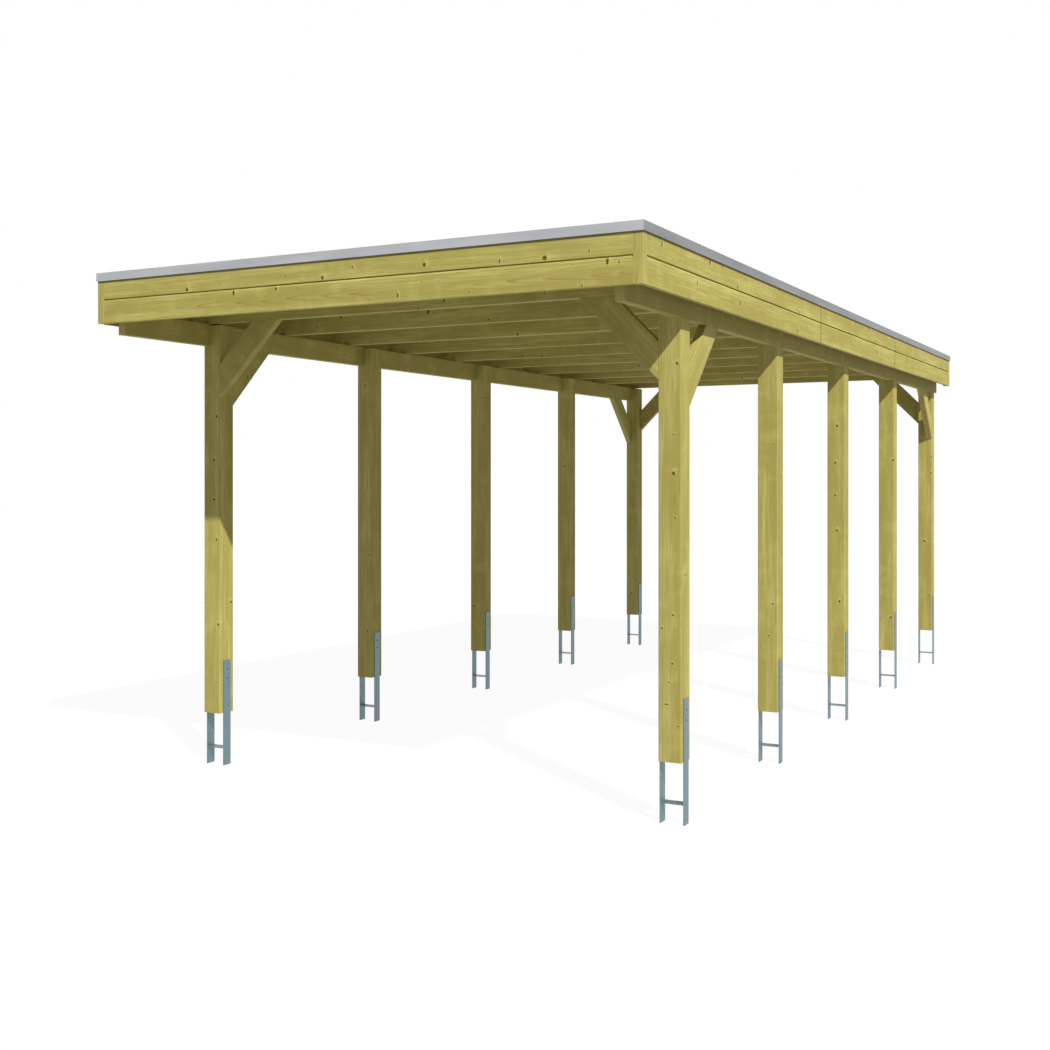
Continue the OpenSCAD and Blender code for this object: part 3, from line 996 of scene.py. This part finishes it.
batten_in = Vector((high.x - batten_w, high.y - batten_w, 0))
corner_x = batten_in.x - NOTCH_ROOM + batten_w / 2
corner_y = batten_in.y - NOTCH_ROOM + batten_w / 2
bpy.ops.mesh.primitive_cube_add(size=1)
notch = bpy.context.object
laid = []
for course in range(BOARD_COURSES):
    x = deck_low.x + (course + 0.5) * cover
    meetings = [rafter_middles[rafter] for rafter in MEETING_RAFTERS[course % len(MEETING_RAFTERS)]]
    stops = [deck_low.y] + meetings + [deck_high.y]
    for start, end in zip(stops, stops[1:]):
        length = end - start - BOARD_GAP
        board = copy_of(roof_board, (x, (start + end) / 2, (deck_low.z + deck_high.z) / 2), (1, length, 1))
        only(board)
        settle()
        at_corner = course in (0, BOARD_COURSES - 1) and (start == deck_low.y or end == deck_high.y)
        if at_corner:
            towards = -1 if start == deck_low.y else 1
            notch.location = (math.copysign(corner_x, x), math.copysign(corner_y, towards), deck_low.z)
            notch.scale = (batten_w, batten_w, 4 * deck_t)
            bpy.context.view_layer.update()
            bpy.ops.object.modifier_add(type="BOOLEAN")
            board.modifiers[-1].object = notch
            board.modifiers[-1].operation = "DIFFERENCE"
            bpy.ops.object.modifier_apply(modifier=board.modifiers[-1].name)
        number = board.data.attributes.new("board_number", "FLOAT", "FACE")
        number.data.foreach_set("value", [float(ROOF_NUMBERS + len(laid))] * len(board.data.polygons))
        laid.append(board)
bpy.data.objects.remove(notch)
bpy.data.objects.remove(roof_board)

board_count = len(laid)
roof_boards = join(laid, "roof_boards")
editing(True)
cut((deck_high.x, 0, 0), (1, 0, 0), remove=True)
editing(False)
board_heart = Vector((deck_low.x + cover / 2 + ROOF_HEART_RIGHT, 0, deck_low.z - ROOF_HEART_DROP))
board_wood = spruce_material("roof_board_spruce", (0, 1, 0), board_heart, ROOF_NUMBERS,
                             pitch=(FAR, cover, FAR), number_attribute="board_number", depth=ROOF_DEPTH)
fit(roof_boards, board_wood, "roof_boards", "roof_boarding")
print("roof boards:", board_count, "lengths")

# %% [markdown]
# ## Roof sheet
# A dark rubber sheet keeps the water out, turned up behind the fascia on all four sides, with a round fold
# at the foot of the upturn. It is made from a fine grid: the corners are cut out round the battens, the
# border is pulled up, and the fold is bevelled.

# %% Cut and fold the sheet
SHEET_GAP = 0.0004
FOLD_RADIUS = 0.014
FOLD_STEPS = 3
GRID_STEP = 0.08

tray_low, tray_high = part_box("roof_sheet")
tray = tray_high - tray_low
sheet_base = tray_low.z + SHEET_GAP
bpy.ops.object.select_all(action="DESELECT")
bpy.ops.mesh.primitive_grid_add(x_subdivisions=round(tray.x / GRID_STEP),
                                y_subdivisions=round(tray.y / GRID_STEP),
                                size=1, location=(0, 0, sheet_base))
sheet = bpy.context.object
sheet.name = "roof_sheet_laid"
sheet.scale = (tray.x - 2 * SHEET_GAP, tray.y - 2 * SHEET_GAP, 1)
settle()
editing(True)
notch_x = batten_in.x - NOTCH_ROOM
notch_y = batten_in.y - NOTCH_ROOM
for sign in (-1, 1):
    cut((sign * notch_x, 0, 0), (1, 0, 0))
    cut((0, sign * notch_y, 0), (0, 1, 0))
pick(sheet, "FACE", lambda place, normal: abs(place.x) > notch_x and abs(place.y) > notch_y)
bpy.ops.mesh.delete(type="FACE")
bpy.ops.mesh.select_mode(type="EDGE")
bpy.ops.mesh.select_all(action="DESELECT")
bpy.ops.mesh.select_non_manifold(use_wire=False, use_multi_face=False, use_non_contiguous=False,
                                 use_verts=False)
extrude((0, 0, tray_high.z - sheet_base))
pick(sheet, "EDGE", lambda place, along: abs(place.z - sheet_base) < AT_LEVEL and abs(along.z) < ACROSS
     and (abs(place.x) > tray.x / 2 - AT_EDGE or abs(place.y) > tray.y / 2 - AT_EDGE))
bpy.ops.mesh.bevel(offset=FOLD_RADIUS, segments=FOLD_STEPS)
editing(False)
print("sheet:", len(sheet.data.polygons), "faces before it gets its thickness")

# %% [markdown]
# ## Waves in the sheet
# The sheet lies loose on the boards, so it is never quite flat. A cloud texture lifts the field of it by a
# few millimetres, and a vertex group keeps the border down. Then the sheet gets its thickness.

# %% Waves in the sheet
SHEET_T = 0.0015
WAVE_HEIGHT = 0.005
WAVE_SIZE = 0.55
WAVE_BORDER = 0.12
SMOOTH_FOLD = math.radians(40)

field = sheet.vertex_groups.new(name="field")
inside = [corner.index for corner in sheet.data.vertices
          if abs(corner.co.x) < tray.x / 2 - WAVE_BORDER and abs(corner.co.y) < tray.y / 2 - WAVE_BORDER]
field.add(inside, 1.0, "REPLACE")
waves = bpy.data.textures.new("sheet_waves", type="CLOUDS")
waves.noise_scale = WAVE_SIZE
only(sheet)
bpy.ops.object.modifier_add(type="DISPLACE")
lift = sheet.modifiers[-1]
lift.texture = waves
lift.texture_coords = "LOCAL"
lift.direction = "Z"
lift.mid_level = 0.0
lift.strength = WAVE_HEIGHT
lift.vertex_group = "field"
bpy.ops.object.modifier_apply(modifier=lift.name)
bpy.ops.object.modifier_add(type="SOLIDIFY")
sheet.modifiers[-1].thickness = SHEET_T
sheet.modifiers[-1].offset = 1.0
bpy.ops.object.modifier_apply(modifier=sheet.modifiers[-1].name)
bpy.ops.object.shade_smooth_by_angle(angle=SMOOTH_FOLD)
print("sheet:", len(sheet.data.polygons), "faces in low waves")

# %% [markdown]
# ## Roofing rubber
# The rubber is matt and nearly black. Dust gathers on it in broad patches, and a fine grit breaks these up
# and roughens the surface.

# %% Roofing rubber
RUBBER_DARK = tone(46, 47, 49)
RUBBER_DUSTY = tone(70, 70, 69)
RUBBER_SHINE = 0.06
DUST_PATCHES = (1.6, 1.6, 1.6)
GRIT_GRAINS = (260.0, 260.0, 260.0)


def roofing_rubber(name):
    """Matt dark sheet with dust that gathers in patches."""
    material, tree, output = new_material(name)
    place = own_place(tree)
    dust = noise(tree, place, DUST_PATCHES, detail=4.0, roughness=0.6).outputs[0]
    grit = noise(tree, place, GRIT_GRAINS).outputs[0]
    dusty = calc(tree, "MULTIPLY", span(tree, dust, 0.45, 0.75), span(tree, grit, 0.3, 0.7, 0.4, 1.0))
    rubber = {
        "Base Color": mix(tree, dusty, RUBBER_DARK, RUBBER_DUSTY),
        "Roughness": span(tree, dusty, 0.0, 1.0, 0.82, 0.95),
        "Specular IOR Level": RUBBER_SHINE,
    }
    finish_surface(tree, output, rubber, grit, height=0.0005, strength=0.5)
    return material


fit(sheet, roofing_rubber("roofing_rubber"), "roof_rubber", "roof_sheet")

# %% [markdown]
# ## Welds on the anchors
# The cross plate of each anchor is welded to both flat bars, above and below. A weld is a bead with fine
# ripples across it, laid into the corner. One bead is drawn from a cylinder: its long edges are divided
# into rings, every second ring is swollen, and its ends are drawn in.

# %% Welds on the anchors
BEAD_RADIUS = 0.0030
BEAD_LENGTH = 0.052
BEAD_RINGS = 13
BEAD_SIDES = 8
PLATE_UP = 0.096
PLATE_T = 0.005
FLAT_T = 0.005
SEAT = 0.0008
SWOLLEN = (1.15, 1, 1.15)
DRAWN_IN = (0.55, 1, 0.55)
SMOOTH_BEAD = math.radians(50)

bpy.ops.object.select_all(action="DESELECT")
bpy.ops.mesh.primitive_cylinder_add(vertices=BEAD_SIDES, radius=BEAD_RADIUS, depth=BEAD_LENGTH,
                                    rotation=(math.radians(90), 0, 0))
bead = bpy.context.object
bead.name = "weld_bead"
settle()
editing(True)
pick(bead, "EDGE", lambda place, along: abs(along.y) > ALONG)
bpy.ops.mesh.subdivide(number_cuts=BEAD_RINGS)
ring_step = BEAD_LENGTH / (BEAD_RINGS + 1)
pick(bead, "EDGE", lambda place, along: abs(along.y) < ACROSS and round(place.y / ring_step) % 2 == 0)
bpy.ops.transform.resize(value=SWOLLEN)
pick(bead, "EDGE", lambda place, along: abs(along.y) < ACROSS and abs(place.y) > BEAD_LENGTH / 2 - AT_EDGE)
bpy.ops.transform.resize(value=DRAWN_IN)
editing(False)
bpy.ops.object.shade_smooth_by_angle(angle=SMOOTH_BEAD)

beads = []
for side in SIDES:
    for place in range(1, POSTS + 1):
        low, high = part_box(f"anchor_{side}_{place}")
        y = (low.y + high.y) / 2
        for x in (low.x + FLAT_T + SEAT, high.x - FLAT_T - SEAT):
            for z in (PLATE_UP - SEAT, PLATE_UP + PLATE_T + SEAT):
                beads.append(copy_of(bead, (x, y, z)))
bpy.data.objects.remove(bead)
bead_count = len(beads)
fit(join(beads, "anchor_welds"), zinc, "galvanised_steel")
print("welds:", bead_count, "beads")

# %% [markdown]
# ## Screws in the edge trim
# The flange of the trim is screwed down to the fascia every half metre. Each screw has a low round head
# with a recess for the driver. One head is made from a cylinder with a rounded rim, whose top is inset and
# pushed in, and is then copied along all four sides.

# %% Screws in the edge trim
HEAD_RADIUS = 0.0045
HEAD_HEIGHT = 0.0022
HEAD_SIDES = 12
SCREW_PITCH = 0.5
SCREW_IN = 0.026
END_ROOM = 0.12
RIM_SHARE = 0.45
RECESS_SHARE = 0.35
RECESS_DEPTH = 0.6
SMOOTH_HEAD = math.radians(35)

bpy.ops.object.select_all(action="DESELECT")
bpy.ops.mesh.primitive_cylinder_add(vertices=HEAD_SIDES, radius=HEAD_RADIUS, depth=HEAD_HEIGHT)
screw = bpy.context.object
screw.name = "trim_screw"
editing(True)
pick(screw, "EDGE", lambda place, along: abs(along.z) < ACROSS and place.z > 0)
bpy.ops.mesh.bevel(offset=HEAD_HEIGHT * RIM_SHARE, segments=2)
pick(screw, "FACE", lambda place, normal: normal.z > ALONG)
bpy.ops.mesh.inset(thickness=HEAD_RADIUS * RECESS_SHARE)
extrude((0, 0, -HEAD_HEIGHT * RECESS_DEPTH))
editing(False)
bpy.ops.object.shade_smooth_by_angle(angle=SMOOTH_HEAD)

top = cad_box[1].z + HEAD_HEIGHT / 2
half_x = cad_box[1].x
half_y = cad_box[1].y


def spread(half):
    """Even places along an edge, from end to end."""
    reach = half - END_ROOM
    count = round(2 * reach / SCREW_PITCH)
    return [-reach + 2 * reach * step / count for step in range(count + 1)]


places = [(x, sign * (half_y - SCREW_IN)) for sign in (-1, 1) for x in spread(half_x)]
places += [(sign * (half_x - SCREW_IN), y) for sign in (-1, 1) for y in spread(half_y)]
screws = [copy_of(screw, (x, y, top)) for x, y in places]
bpy.data.objects.remove(screw)
fit(join(screws, "trim_screws"), zinc, "galvanised_steel")
print("screws:", len(places), "heads")
